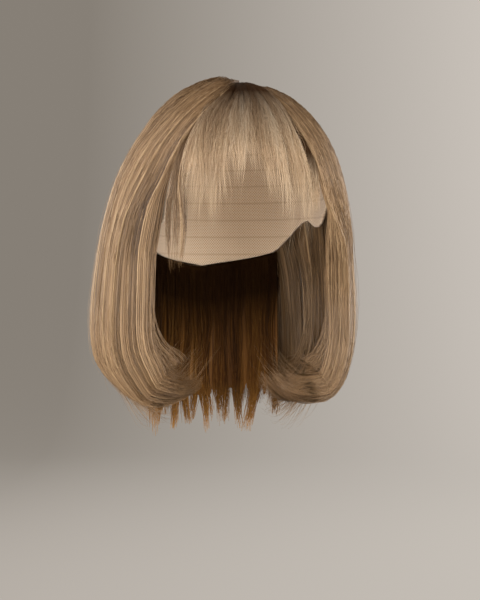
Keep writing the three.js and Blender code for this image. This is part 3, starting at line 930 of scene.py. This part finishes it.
@dataclass(kw_only=True)
class Lengths(HairPiece):
    """The long hair from the whorl to the curled ends, over a side or the back of the cap.

    The body is how far the outside stands off the cap: at the crown the crown body times the lift of its
    turn, and at the fullest the side body times the fullness of its turn. The curl depth is how far the
    curled ends reach in past the cap's side. The hair lies on the cap with at least the lying way between,
    leaves it over the free falls, and may come in under it over the falls where the cap ends. The parting
    is where the front edge lies down to the fringe's level. The edge lift is how much higher the curl of
    the front edge runs, between the two stretches along the piece over which it rises and sinks.
    """

    outline: Outline
    front: Table
    fullness: Table = Table(((0, 0.1), (45, 0.24), (70, 0.42), (84, 0.55), (100, 0.84), (118, 0.955),
                             (145, 0.9), (180, 0.76)))
    crown_lift: Table = Table(((-180, 0.8), (-120, 0.95), (-51, 1.0), (-49, 0.55), (0, 0.5), (60, 0.6),
                               (120, 0.66), (180, 0.8)))
    slot: str = "hair_lengths"
    finish: HairFinish = BLOND
    back_turn: float = 125.0
    side_body: float = 0.060
    mean_body: float = 0.045
    crown_body: float = 0.013
    curl_depth: float = 0.050
    thickness: float = 0.020
    tip_thickness: float = 0.0024
    least_thickness: float = 0.001
    lying: float = 2.7 * MILLIMETRE
    free_falls: Pair = (0.8, 1.35)
    cap_ends: Pair = (1.05, 1.3)
    core_start: float = 0.004
    core_sink: float = 1.0 * MILLIMETRE
    core_span: Pair = (0.03, 0.996)
    front_rounding: float = 14.0
    front_falls: Pair = (0.6, 1.0)
    front_drop: float = 0.005
    fringe_level: float = 0.0078
    parting_slope: float = 20.0
    parting_start: Pair = (0.06, 0.2)
    parting_end: Pair = (0.78, 1.02)
    edge_lift: float = 0.0
    edge_rises: Pair = (0.58, 0.8)
    edge_sinks: Pair = (0.86, 1.0)
    edge_width: float = 0.25
    edge_thinning: float = 0.0
    point_shift: float = 0.09

    def body(self, turn: Array, fall: Array, out: Array) -> Array:
        """Gives how far the outside stands off the cap: from the crown's height to the full body."""
        start = self.crown_body * self.crown_lift.at(signed(turn))
        full = self.side_body * self.fullness.at(np.abs(signed(turn)))
        outside = start + out * np.where(out > 0, full - start, self.curl_depth)
        if self.back_turn > HALF_ROUND:
            return outside
        inside = np.abs(turn) - self.front.at(fall)
        rounding = (1 - smooth(inside, 0, self.front_rounding)) * smooth(fall, *self.front_falls)
        parting = (1 - smooth(inside, 0, self.parting_slope)) * (1 - smooth(fall, *self.parting_end))
        parting = parting * smooth(fall, *self.parting_start)
        outside = outside - rounding * self.front_drop
        return blend(outside, np.minimum(outside, self.fringe_level), parting)

    def lay(self, across: Array, along: Array, depth: Array, lift: Array) -> tuple[Array, Array, Array]:
        """Finds places: along the outline, and square to it by the depth, as HairPiece.lay says."""
        fall, out, wall = self.outline.by_length(self.cap, along, self.mean_body, self.curl_depth)
        front = self.front.at(fall)
        turn = self.side.value * (front + (self.back_turn - front) * across)
        outside = self.body(turn, fall, out)
        drift, sink = np.gradient(outside, axis=1), np.gradient(self.cap.drop(fall), axis=1)
        length = np.hypot(drift, sink) + TINY
        free = smooth(fall, *self.free_falls)
        at_edge = 1 - smooth(across, 0.0, self.edge_width)
        full = (self.thickness * wall + self.tip_thickness) * (1 - self.edge_thinning * at_edge)
        held = outside - self.lying
        below = self.curl_depth * smooth(fall, *self.cap_ends)
        above_curl = (out > 0) | (fall < self.cap_ends[0])
        room = np.where(above_curl, np.minimum(held + below, blend(held, full, free)), full)
        inside = depth * np.maximum(room, self.least_thickness) - lift
        offset = outside - inside * blend(1.0, sink / length, free)
        offset = np.where(above_curl, np.maximum(offset, self.lying - below), offset)
        points = self.cap.point(turn, fall, offset)
        higher = self.edge_lift * at_edge * smooth(along, *self.edge_rises)
        higher = higher * (1 - smooth(along, *self.edge_sinks))
        points[..., 2] += higher - inside * (drift / length) * free
        return points, self.cap.normal(turn, fall), self.cap.beside(turn)


SIDE_FALLS = (0, 0.18, 0.354, 0.5, 0.63, 0.893, 1.12, 1.45, 1.66, 1.8, 1.91, 1.98, 2.0, 1.955, 1.86)
SIDE_WALLS = (1, 1, 1, 1, 1, 1, 1, 1.05, 1, 1, 1, 0.95, 0.9, 0.75, 0.5)


@dataclass(kw_only=True)
class RightLengths(Lengths):
    """The wearer's right: combed up from the parting over the fringe's roots, curled under at the jaw."""

    name: str = "side_lengths_right"
    side: Side = Side.RIGHT
    seed: int = 12
    locks: int = 12
    width: float = 0.12
    layers: tuple[Layer, ...] = (
        Layer(560, (0.0, 0.08), 0.26 * MILLIMETRE, 0.5 * MILLIMETRE, roots=(-0.03, 0.26)),
        Layer(240, (0.08, 0.3), 0.3 * MILLIMETRE, 0.8 * MILLIMETRE, roots=(-0.03, 0.4)),
        Layer(240, (0.0, 0.95), 0.28 * MILLIMETRE, 0.8 * MILLIMETRE, roots=(-0.04, 0.24),
              spread=(-0.012, 0.06), tone=0.24),
        Layer(110, (0.8, 1.0), 0.34 * MILLIMETRE, 1.0 * MILLIMETRE, roots=(0.1, 0.5)),
        # The curl layers are paler, partly for their own greyish strands and partly as painted light on the
        # curl's underside.
        Layer(60, (0.0, 1.0), 0.16 * MILLIMETRE, 3.0 * MILLIMETRE, roots=(0.5, 0.6), tips=(0.98, 1.1),
              crowd=2.0, bulge=10.0 * MILLIMETRE, tone=0.1),
        Layer(230, (0.3, 1.0), 0.18 * MILLIMETRE, 2.0 * MILLIMETRE, roots=(0.4, 0.55), tips=(0.92, 1.06),
              crowd=2.0, bulge=26.0 * MILLIMETRE, tone=0.2),
        Layer(80, (0.0, 0.5), 0.26 * MILLIMETRE, 1.5 * MILLIMETRE, roots=(0.5, 0.6), tips=(0.88, 0.97),
              spread=(0.5, 1.0), hang=26.0 * MILLIMETRE, tone=0.1),
        Layer(40, (-0.06, 0.1), 0.09 * MILLIMETRE, 5.0 * MILLIMETRE, tips=(0.8, 1.08)),
    )
    outline: Outline = Outline.joined(SIDE_FALLS, (
        0, 0.09, 0.19, 0.265, 0.32, 0.575, 0.8, 0.97, 0.98, 0.835, 0.46, 0.1, -0.3, -0.7, -0.97,
    ), SIDE_WALLS)
    front: Table = Table(((0, 48), (0.2, 50), (0.4, 58), (0.58, 69), (0.75, 76), (0.93, 80), (1.06, 82),
                          (1.2, 84), (1.4, 84), (1.7, 84), (2.1, 82)))
    squeeze: float = 0.6
    overlap: float = 0.14
    tip_stir: float = 3.0
    edge_lift: float = 14.0 * MILLIMETRE
    edge_thinning: float = 0.25
    shadow: float = 0.14


@dataclass(kw_only=True)
class LeftLengths(Lengths):
    """The wearer's left: combed down from the parting past the ear, curled under at the jaw."""

    name: str = "side_lengths_left"
    seed: int = 11
    locks: int = 16
    width: float = 0.16
    layers: tuple[Layer, ...] = (
        Layer(600, (0.0, 0.08), 0.26 * MILLIMETRE, 0.5 * MILLIMETRE, roots=(-0.01, 0.26)),
        Layer(250, (0.08, 0.3), 0.3 * MILLIMETRE, 0.8 * MILLIMETRE, roots=(-0.01, 0.4)),
        Layer(210, (0.0, 0.95), 0.28 * MILLIMETRE, 0.8 * MILLIMETRE, roots=(0.05, 0.35),
              spread=(-0.012, 0.04), tone=0.06),
        Layer(150, (0.8, 1.0), 0.34 * MILLIMETRE, 1.0 * MILLIMETRE, roots=(0.1, 0.5)),
        # The curl layers are paler, partly for their own greyish strands and partly as painted light on the
        # curl's underside.
        Layer(50, (0.0, 1.0), 0.16 * MILLIMETRE, 3.0 * MILLIMETRE, roots=(0.5, 0.6), tips=(0.98, 1.08),
              crowd=2.0, bulge=10.0 * MILLIMETRE, tone=0.1),
        Layer(180, (0.3, 1.0), 0.18 * MILLIMETRE, 2.0 * MILLIMETRE, roots=(0.4, 0.55), tips=(0.92, 1.06),
              crowd=2.0, bulge=26.0 * MILLIMETRE, tone=0.1),
        Layer(90, (0.0, 0.5), 0.28 * MILLIMETRE, 1.5 * MILLIMETRE, roots=(0.5, 0.6), tips=(0.9, 1.0),
              spread=(0.7, 1.0), hang=28.0 * MILLIMETRE, tone=0.1),
        Layer(40, (-0.06, 0.1), 0.09 * MILLIMETRE, 5.0 * MILLIMETRE, tips=(0.8, 1.08)),
    )
    outline: Outline = Outline.joined(SIDE_FALLS, (
        0, 0, 0.165, 0.29, 0.41, 0.6, 0.84, 0.99, 0.97, 0.85, 0.63, 0.27, -0.2, -0.65, -0.97,
    ), SIDE_WALLS)
    front: Table = Table(((0, 8), (0.2, 11), (0.4, 17), (0.58, 24), (0.75, 30), (0.93, 36), (1.06, 50),
                          (1.2, 71), (1.4, 82), (1.7, 84), (2.1, 82)))
    squeeze: float = 0.1
    overlap: float = 0.04
    tip_stir: float = 3.0
    edge_lift: float = 8.0 * MILLIMETRE


@dataclass(kw_only=True)
class BackLengths(Lengths):
    """The long hair of the back, from one side round to the other."""

    name: str = "back_lengths"
    seed: int = 13
    locks: int = 26
    width: float = 0.27
    layers: tuple[Layer, ...] = (
        Layer(760, (0.0, 0.08), 0.3 * MILLIMETRE, 0.6 * MILLIMETRE, roots=(-0.03, 0.26)),
        Layer(330, (0.08, 0.4), 0.36 * MILLIMETRE, 0.9 * MILLIMETRE, roots=(-0.03, 0.4)),
        Layer(300, (0.8, 1.0), 0.36 * MILLIMETRE, 1.2 * MILLIMETRE, roots=(0.1, 0.5)),
        Layer(100, (0.0, 0.8), 0.24 * MILLIMETRE, 2.0 * MILLIMETRE, roots=(0.5, 0.6), tips=(0.9, 1.0),
              hang=20.0 * MILLIMETRE),
        Layer(60, (-0.06, 0.1), 0.1 * MILLIMETRE, 5.0 * MILLIMETRE, tips=(0.8, 1.06)),
    )
    outline: Outline = Outline.joined(
        (*SIDE_FALLS[:9], 1.82, 1.95, 2.02),
        (0, 0.05, 0.18, 0.275, 0.36, 0.58, 0.8, 0.97, 0.97, 0.82, 0.42, 0.12),
        (1, 1, 1, 1, 1, 1, 1, 1, 0.85, 0.65, 0.45, 0.3),
    )
    front: Table = Table.flat(125)
    back_turn: float = 235.0
    tip_stir: float = 2.0
    core_end: float = 0.96


@dataclass(kw_only=True)
class ThinLayer(HairPiece):
    """A thin layer of hair between two levels of the cap, at its own height over it.

    The start and end turns are those of its two edges on the left side, for each fall. The first number of
    the outside and of the thickness holds at the crown, and the second from the drop at which it settles.
    """

    start_turn: Table
    end_turn: Table
    root_drop: Table
    tip_drop: Table
    outside: Pair = (0.0065, 0.0072)
    settles: float = 0.052
    thickness: Pair = (0.0038, 0.0045)
    pales_by_fall: bool = False

    def aim(self, across: Array) -> Array:
        """Gives the turn that each place across has at the widest level, on the left side."""
        widest = np.ones_like(across)
        return blend(self.start_turn.at(widest), self.end_turn.at(widest), across)

    def end_falls(self, across: Array) -> tuple[Array, Array]:
        """Gives the falls at which the layer starts and ends at each place across."""
        aim = self.aim(across)
        return self.cap.fall(self.root_drop.at(aim)), self.cap.fall(self.tip_drop.at(aim))

    def level(self, across: Array, along: Array) -> Array:
        """Gives the fall instead, where hair of all lengths turns pale at one height."""
        if self.pales_by_fall:
            return blend(*self.end_falls(across), along)
        return super().level(across, along)

    def lay(self, across: Array, along: Array, depth: Array, lift: Array) -> tuple[Array, Array, Array]:
        """Finds places: down the cap at the layer's own height, as HairPiece.lay says."""
        fall = blend(*self.end_falls(across), along)
        turn = self.side.value * blend(self.start_turn.at(fall), self.end_turn.at(fall), across)
        settled = smooth(self.cap.drop(fall), 0.0, self.settles)
        outside, thickness = blend(*self.outside, settled), blend(*self.thickness, settled)
        offset = outside - depth * thickness + lift
        return self.cap.point(turn, fall, offset), self.cap.normal(turn, fall), self.cap.beside(turn)


@dataclass(kw_only=True)
class Fringe(ThinLayer):
    """Half of the wispy fringe. Its core hides the cap's front edge, below which only wisps fall."""

    slot: str = "hair_fringe"
    finish: HairFinish = PALE
    pales_by_fall: bool = True
    locks: int = 11
    width: float = 0.07
    layers: tuple[Layer, ...] = (
        Layer(600, (-0.1, 0.3), 0.16 * MILLIMETRE, 2.6 * MILLIMETRE, roots=(-0.05, 0.1), tips=(0.78, 1.08)),
        Layer(460, (0.3, 0.9), 0.16 * MILLIMETRE, 2.6 * MILLIMETRE, roots=(-0.05, 0.1), tips=(0.72, 1.04)),
        Layer(80, (-0.3, 0.4), 0.09 * MILLIMETRE, 5.0 * MILLIMETRE, roots=(0.0, 0.2), tips=(0.8, 1.25)),
    )
    steps: int = 12
    wisps_per_lock: int = 3
    sway: float = 2.4 * MILLIMETRE
    ragged: float = 0.14
    gather: Pair = (0.12, 0.4)
    crossing: float = 4.0 * MILLIMETRE
    core: Pair = (0.35, 0.75)
    core_start: float = -0.05
    core_grid: tuple[int, int] = (66, 22)
    core_edges: tuple[Pair, ...] = ((0.0, 1.0), (0.07, 0.0), (0.93, 0.0), (1.0, 1.0))
    core_shade: float = -0.16
    core_margin: float = 5.0 * MILLIMETRE
    core_taper: float = 0.4
    depth_shade: float = 0.12
    root_drop: Table = Table.flat(0.0002)

    def last_core(self, across: Array) -> Array:
        """Gives where the core ends: the margin below the cap's front edge."""
        first, last = self.end_falls(across)
        edge_drop = self.cap.edge_drop(self.side.value * self.aim(across))
        edge = self.cap.fall(edge_drop + self.core_margin)
        return np.minimum((edge - first) / (last - first), 1.0)


@dataclass(kw_only=True)
class FringeLeft(Fringe):
    """The half of the fringe on the wearer's left of the parting."""

    name: str = "fringe_left"
    seed: int = 21
    start_turn: Table = Table.flat(-20)
    end_turn: Table = Table(((0, 8), (0.2, 11), (0.4, 17), (0.5, 18), (2, 18)))
    tip_drop: Table = Table(((-20, 0.077), (-10, 0.097), (0, 0.118), (60, 0.118)))


@dataclass(kw_only=True)
class FringeRight(Fringe):
    """The half of the fringe on the wearer's right of the parting."""

    name: str = "fringe_right"
    side: Side = Side.RIGHT
    seed: int = 22
    start_turn: Table = Table.flat(20)
    end_turn: Table = Table(((0, 48), (0.2, 50), (0.4, 58), (0.5, 62), (2, 62)))
    tip_drop: Table = Table(((20, 0.077), (30, 0.097), (40, 0.118), (60, 0.118)))


@dataclass(kw_only=True)
class TempleLock(ThinLayer):
    """A long thin lock in front of the side, which frames the face."""

    slot: str = "hair_fringe"
    locks: int = 3
    layers: tuple[Layer, ...] = (
        Layer(150, (0.0, 0.9), 0.18 * MILLIMETRE, 1.4 * MILLIMETRE, roots=(0.0, 0.1), tips=(0.7, 1.0)),
    )
    steps: int = 12
    outside: Pair = (0.0051, 0.0051)
    thickness: Pair = (0.003, 0.003)
    core: Pair = (0.4, 0.7)
    core_end: float = 0.4
    core_grid: tuple[int, int] = (10, 14)


@dataclass(kw_only=True)
class TempleLockLeft(TempleLock):
    """The pale lock at the wearer's left temple."""

    name: str = "temple_lock_left"
    finish: HairFinish = PALE
    seed: int = 31
    width: float = 0.016
    start_turn: Table = Table.flat(19.2)
    end_turn: Table = Table(((0.5, 20), (0.75, 28.8), (2, 29.2)))
    root_drop: Table = Table.flat(0.044)
    tip_drop: Table = Table.flat(0.116)


@dataclass(kw_only=True)
class TempleLockRight(TempleLock):
    """The longer lock at the wearer's right temple, in the darker blond finish as painted shade under the
    swept side hair.
    """

    name: str = "temple_lock_right"
    # Painted shade: the darker finish stands for the shadow of the swept side hair.
    finish: HairFinish = BLOND
    side: Side = Side.RIGHT
    seed: int = 32
    width: float = 0.02
    start_turn: Table = Table.flat(63.2)
    end_turn: Table = Table(((0.5, 64), (0.75, 74.8), (2, 77.2)))
    root_drop: Table = Table.flat(0.040)
    tip_drop: Table = Table.flat(0.166)


@dataclass(kw_only=True)
class NapeHair(ThinLayer):
    """The straight under layer at the nape, from the cap's rim down, whose jagged tips show below."""

    name: str = "nape_hair"
    slot: str = "hair_under"
    finish: HairFinish = WARM
    seed: int = 41
    locks: int = 14
    width: float = 0.15
    layers: tuple[Layer, ...] = (
        Layer(720, (0.5, 1.0), 0.32 * MILLIMETRE, 2.0 * MILLIMETRE, roots=(0.0, 0.15), tips=(0.93, 1.02)),
        Layer(680, (0.0, 0.5), 0.32 * MILLIMETRE, 2.0 * MILLIMETRE, roots=(0.0, 0.15), tips=(0.86, 1.02)),
    )
    steps: int = 14
    wisps_per_lock: int = 4
    ragged: float = 0.14
    gather: Pair = (0.82, 0.1)
    crossing: float = 3.0 * MILLIMETRE
    splay: float = 0.009
    tip_radius: float = 0.4
    core: Pair = (0.3, 0.7)
    core_end: float = 0.8
    core_teeth: float = 0.12
    outside: Pair = (0.0054, 0.0086)
    settles: float = 0.306
    thickness: Pair = (0.007, 0.007)
    start_turn: Table = Table.flat(128)
    end_turn: Table = Table.flat(232)
    root_drop: Table = Table(((128, 0.1423), (130, 0.1443), (155, 0.1506), (180, 0.1568), (205, 0.1506),
                              (230, 0.1443), (232, 0.1423)))
    tip_drop: Table = Table.flat(0.313)


@dataclass(kw_only=True)
class NetCap:
    """The cap: a thin dome of net with a turned hem along its edge and ridges where the rows are sewn.

    The hem has its full height from the full share of its width on to the edge. A ridge starts at the ridge
    share of the way from the middle between two rows to the row.
    """

    cap: CapShape
    finish: NetFinish = NetFinish()
    columns: int = 144
    rows: int = 60
    row_crowding: float = 0.9
    hem_width: float = 6.0 * MILLIMETRE
    hem_full: float = 0.8
    hem_height: float = 0.7 * MILLIMETRE
    ridge_share: float = 0.86
    ridge_height: float = 0.45 * MILLIMETRE

    def build(self) -> bpy.types.Object:
        """Builds the dome: an outer sheet, and an inner one raised at the hem and the sewn rows."""
        turn = np.linspace(-HALF_ROUND, HALF_ROUND, self.columns, endpoint=False)[None, :]
        last = self.cap.fall(self.cap.edge_drop(turn))
        fall = last * np.linspace(0.0, 1.0, self.rows + 1)[1:, None] ** self.row_crowding
        threads = round(FULL_TURN * (self.cap.half_width + self.cap.half_length) / 2 / self.finish.mesh)
        girth = threads * self.finish.mesh
        down = fall * HALF_PI * self.cap.rise
        to_edge = (last - fall) * HALF_PI * self.cap.rise
        hem = smooth(-to_edge, -self.hem_width, -self.hem_width * self.hem_full)
        row = np.abs((down / self.finish.half_row) % 2 - 1)
        ridge = smooth(row, self.ridge_share, 1.0) * (1 - hem)
        relief = hem * self.hem_height + ridge * self.ridge_height
        outer = self.cap.point(turn, fall, self.cap.wall + 0 * fall)
        inner = self.cap.point(turn, fall, -relief)
        marks = np.stack([turn / ROUND * girth + 0 * fall, down], axis=-1).reshape(-1, 2)
        number = np.arange(self.rows * self.columns).reshape(self.rows, self.columns)
        beside = np.roll(number, -1, axis=1)
        inward, inward_beside = number + number.size, beside + number.size
        poles = 2 * number.size + np.arange(2)
        outside = np.stack([number[:-1], number[1:], beside[1:], beside[:-1]], axis=-1)
        inside = np.stack([inward[:-1], inward_beside[:-1], inward_beside[1:], inward[1:]], axis=-1)
        rim = np.stack([number[-1], inward[-1], inward_beside[-1], beside[-1]], axis=-1)
        quads = np.concatenate([outside.reshape(-1, 4), inside.reshape(-1, 4), rim])
        triangles = np.concatenate([
            np.stack([poles[0] + 0 * number[0], number[0], beside[0]], axis=-1),
            np.stack([poles[1] + 0 * number[0], inward_beside[0], inward[0]], axis=-1),
        ])
        pole_points = self.cap.point(np.zeros(2), np.zeros(2), np.array([self.cap.wall, 0.0]))
        points = np.concatenate([outer.reshape(-1, 3), inner.reshape(-1, 3), pole_points])
        draft = MeshDraft()
        draft.add(points, np.concatenate([marks, marks, np.zeros((2, 2))]),
                  np.full(len(points), MIDDLE_TONE), quads, triangles)
        piece = draft.build("cap_net", self.finish.material(), girth)
        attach(piece, "root")
        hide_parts("cap")
        return piece


def hang_round(holder: bpy.types.Object, aim: Vector, azimuth: float, elevation: float,
               distance: float) -> None:
    """Links an object to the scene, round the aim by its direction and distance, turned to the aim."""
    angle, height = math.radians(azimuth), math.radians(elevation)
    level = math.cos(height)
    way = Vector((math.sin(angle) * level, -math.cos(angle) * level, math.sin(height)))
    holder.location = aim + way * distance
    holder.rotation_mode = "QUATERNION"
    holder.rotation_quaternion = (-way).to_track_quat("-Z", "Y")
    bpy.context.scene.collection.objects.link(holder)


@dataclass(frozen=True)
class SoftLight:
    """A soft disk lamp, placed round the wig by its direction."""

    name: str
    azimuth: float
    elevation: float
    distance: float
    size: float
    power: float
    colour: str

    def build(self, aim: Vector) -> None:
        """Hangs the lamp at its direction and distance, turned to the aim and out of the camera's sight."""
        lamp = bpy.data.lights.new(self.name, "AREA")
        lamp.shape = "DISK"
        lamp.size = self.size
        lamp.energy = self.power
        lamp.color = linear_colour(self.colour)[:3]
        holder = bpy.data.objects.new(self.name, lamp)
        holder.visible_camera = False
        hang_round(holder, aim, self.azimuth, self.elevation, self.distance)


@dataclass(frozen=True)
class PaperFinish:
    """Matt backdrop paper with painted light: darker on the left, paler towards the floor.

    It is lit from behind the camera, but the lamps reach it unevenly at this distance, so most of its light
    is its own glow. Its tone goes from left to right over the span, and from the far tones to the near ones
    between two distances from the crown.
    """

    name: str = "matt_paper"
    left: str = "#857e75"
    right: str = "#cbc4bc"
    near_left: str = "#b0a9a1"
    near_right: str = "#cfc9c1"
    span: Pair = (-0.42, 0.68)
    near: Pair = (3.3, 0.4)
    glow: float = 0.92
    roughness: float = 0.95
    albedo: str = "#3c3a38"

    def material(self, right: tuple[float, float, float]) -> bpy.types.Material:
        """Builds the paper.

        Args:
            right: the level direction from its darker to its paler side.

        Returns:
            A material that glows in the paper's tone and takes a soft shadow.
        """
        material, tree = new_material(self.name)
        place = add_node(tree, "ShaderNodeTexCoord").outputs["Object"]
        level = add_node(tree, "ShaderNodeVectorMath", {0: place, 1: right}, operation="DOT_PRODUCT")
        share = ranged(tree, level.outputs["Value"], self.span)
        away = add_node(tree, "ShaderNodeVectorMath", {0: place}, operation="LENGTH").outputs["Value"]
        close = ranged(tree, away, self.near, interpolation_type="SMOOTHSTEP")
        far_tone = mixed(tree, share, self.left, self.right)
        near_tone = mixed(tree, share, self.near_left, self.near_right)
        end_material(tree, {
            "Base Color": linear_colour(self.albedo), "Roughness": self.roughness,
            "Specular IOR Level": 0.0, "Emission Color": mixed(tree, close, far_tone, near_tone),
            "Emission Strength": self.glow,
        })
        return material


@dataclass(kw_only=True)
class Studio:
    """The camera, the pale floor that sweeps up to a wall all round, and the soft lamps."""

    azimuth: float = -22.0
    distance: float = 1.7
    frame_height: float = 0.54
    aim: tuple[float, float, float] = (0.0, 0.0, -0.1886)
    sensor: float = 36.0
    floor_level: float = -0.52
    wall_distance: float = 3.6
    sweep_radius: float = 1.3
    wall_height: float = 3.2
    sectors: int = 96
    bends: int = 24
    paper: PaperFinish = PaperFinish()
    sky: str = "#d9d6d2"
    sky_strength: float = 0.35
    lights: tuple[SoftLight, ...] = (
        SoftLight("key", azimuth=-60, elevation=14, distance=1.8, size=1.3, power=34,
                  colour="#fffcfa"),
        SoftLight("fill", azimuth=20, elevation=4, distance=2.2, size=0.9, power=25,
                  colour="#fffefc"),
        SoftLight("rim_left", azimuth=-140, elevation=12, distance=1.5, size=0.9, power=12,
                  colour="#fff4e8"),
        SoftLight("rim_right", azimuth=104, elevation=12, distance=1.5, size=0.9, power=12,
                  colour="#fff4e8"),
        SoftLight("bounce", azimuth=-22, elevation=-8, distance=1.0, size=0.34, power=3.4,
                  colour="#fff2e2"),
    )

    def build_camera(self) -> None:
        """Sets the camera level with its aim. The long side of the sensor spans the picture's height."""
        data = bpy.data.cameras.new("camera")
        data.sensor_width = self.sensor
        data.lens = self.sensor * self.distance / self.frame_height
        camera = bpy.data.objects.new("camera", data)
        hang_round(camera, Vector(self.aim), self.azimuth, 0.0, self.distance)
        bpy.context.scene.camera = camera

    def build_backdrop(self) -> None:
        """Makes the backdrop: a line of floor, quarter circle and wall, carried round the upright axis."""
        bend = np.linspace(0, HALF_PI, self.bends)
        out = np.concatenate([[0.0], self.wall_distance - self.sweep_radius * (1 - np.sin(bend)),
                              [self.wall_distance]])
        up = np.concatenate([[0.0], self.sweep_radius * (1 - np.cos(bend)), [self.wall_height]])
        angle = np.linspace(0, FULL_TURN, self.sectors, endpoint=False)[:, None]
        height = up + self.floor_level + 0 * angle
        points = np.stack([out * np.cos(angle), out * np.sin(angle), height], axis=-1)
        number = np.arange(angle.size * out.size).reshape(angle.size, out.size)
        beside = np.roll(number, -1, axis=0)
        faces = np.stack([beside[:, :-1], beside[:, 1:], number[:, 1:], number[:, :-1]], axis=-1)
        mesh = bpy.data.meshes.new("floor")
        mesh.from_pydata(points.reshape(-1, 3).tolist(), [], faces.reshape(-1, 4).tolist())
        mesh.polygons.foreach_set("use_smooth", np.ones(len(mesh.polygons), bool))
        turn = math.radians(self.azimuth)
        mesh.materials.append(self.paper.material((math.cos(turn), math.sin(turn), 0.0)))
        floor = bpy.data.objects.new("floor", mesh)
        bpy.context.scene.collection.objects.link(floor)

    def build(self) -> None:
        """Builds the studio round the wig."""
        self.build_camera()
        self.build_backdrop()
        for light in self.lights:
            light.build(Vector(self.aim))
        world = bpy.data.worlds.new("studio")
        world.use_nodes = True
        background = world.node_tree.nodes["Background"]
        background.inputs["Color"].default_value = linear_colour(self.sky)
        background.inputs["Strength"].default_value = self.sky_strength
        bpy.context.scene.world = world
        bpy.context.scene.view_settings.view_transform = "Standard"


def main() -> None:
    """Builds the studio and the wig's pieces in order."""
    logging.basicConfig(level=logging.INFO, format="%(name)s: %(message)s")
    Studio().build()
    cap = CapShape()
    pieces = (NetCap, RightLengths, LeftLengths, BackLengths, FringeLeft, FringeRight, TempleLockLeft,
              TempleLockRight, NapeHair)
    for piece in pieces:
        built = piece(cap=cap).build()
        LOG.info("%s: %d points", built.name, len(built.data.vertices))


if __name__ == "__main__":
    main()
